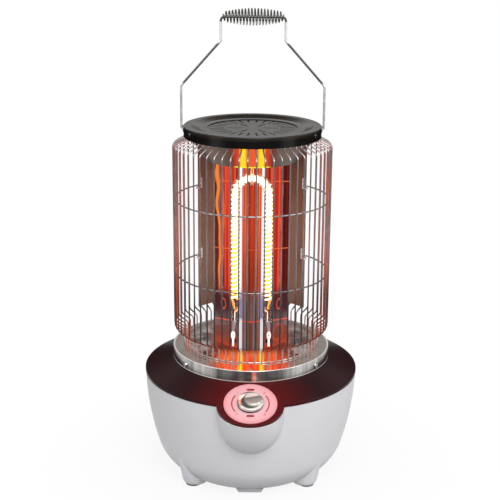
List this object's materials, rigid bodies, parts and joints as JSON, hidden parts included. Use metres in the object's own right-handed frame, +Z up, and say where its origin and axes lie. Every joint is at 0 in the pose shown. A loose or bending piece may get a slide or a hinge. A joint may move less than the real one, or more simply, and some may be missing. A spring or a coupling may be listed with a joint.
{
  "type": "electric heater",
  "caption": "Free-standing radiant heater: round base with dial, wire guard round an upright glowing lamp, vented cap and swinging wire handle.",
  "frame": {"origin": "centre of the heater's footprint box, on the floor under the rubber pads", "axes": "+Z up, -Y to the front where the dial is, +X to the right seen from the front"},
  "size_m": [0.284, 0.3137, 0.617],
  "materials": {
    "shell_plastic": "satin pale grey moulded plastic",
    "cover_plastic": "glossy dark red-brown moulded plastic",
    "dial_print": "pink printed plate with dark red marks",
    "knob_metal": "turned and polished",
    "tray_steel": "bright stainless sheet",
    "guard_chrome": "bright plated wire",
    "handle_chrome": "bright plated wire",
    "shield_steel": "dull heat-tinted sheet",
    "reflector_mirror": "mirror-bright sheet",
    "deflector_steel": "bright stainless sheet",
    "cap_enamel": "black baked enamel, satin",
    "zinc_screw": "zinc plated",
    "bushing_brass": "plain turned brass",
    "lamp_quartz": "clear quartz",
    "filament_glow": "glowing heating wire",
    "lead_metal": "bright nickel",
    "ceramic_white": "white ceramic",
    "shaft_steel": "plain steel",
    "inner_black": "black moulded plastic",
    "pad_rubber": "matt rubber",
    "wire_jacket": "glass-sleeved wire"
  },
  "bodies": {
    "base": {"base_shell": "shell_plastic", "foot_pads": "pad_rubber", "bottom_cover": "inner_black", "bottom_screws": "zinc_screw", "top_cover": "cover_plastic", "cover_screws": "zinc_screw", "dial_plate": "dial_print", "rotary_switch": "inner_black", "switch_nut": "zinc_screw", "base_tray": "tray_steel", "tray_screws": "zinc_screw", "guard_wires": "guard_chrome", "base_ring_lower": "guard_chrome", "base_ring_upper": "guard_chrome", "top_ring": "guard_chrome", "guard_ring_lower": "guard_chrome", "guard_ring_upper": "guard_chrome", "guard_clips": "tray_steel", "clip_screws": "zinc_screw", "rear_shield": "shield_steel", "ring_tabs": "shield_steel", "shield_posts": "zinc_screw", "shield_rivets": "zinc_screw", "reflector": "reflector_mirror", "reflector_screws": "zinc_screw", "heat_deflector": "deflector_steel", "top_frame": "tray_steel", "cap": "cap_enamel", "cap_screws": "zinc_screw", "handle_bushings": "bushing_brass", "lamp_tube": "lamp_quartz", "filament": "filament_glow", "lamp_leads": "lead_metal", "lamp_seals": "ceramic_white", "lamp_terminals": "lead_metal", "lamp_hook": "lead_metal", "lamp_sockets": "ceramic_white", "lamp_grommets": "ceramic_white", "tip_spring": "shaft_steel", "tip_switch": "inner_black", "tip_bracket": "tray_steel", "thermal_cutout": "ceramic_white", "cutout_screws": "zinc_screw", "terminal_block": "inner_black", "internal_wires": "wire_jacket", "cord_gland": "inner_black", "gland_nut": "inner_black"},
    "handle": {"handle_bail": "handle_chrome", "bail_retainers": "zinc_screw", "handle_grip": "handle_chrome"},
    "knob": {"knob": "knob_metal", "knob_shaft": "shaft_steel"},
    "tip_foot": {"tip_foot": "shell_plastic"}
  },
  "joints": [
    {"name": "handle_swing", "type": "hinge", "parent": "base", "child": "handle", "pos_m": [0, 0.01503, 0.465], "axis": [1, 0, 0], "range_deg": [-103, 103]},
    {"name": "knob_turn", "type": "hinge", "parent": "base", "child": "knob", "pos_m": [0, -0.12298, 0.14564], "axis": [0, -0.3794, 0.9253], "range_deg": [-210, 90]},
    {"name": "tip_plunger", "type": "slide", "parent": "base", "child": "tip_foot", "axis": [0, 0, -1], "range_m": [0, 0.004], "stiffness_N_per_m": 150, "springref_m": 0.006, "deforming": ["tip_spring"]}
  ]
}
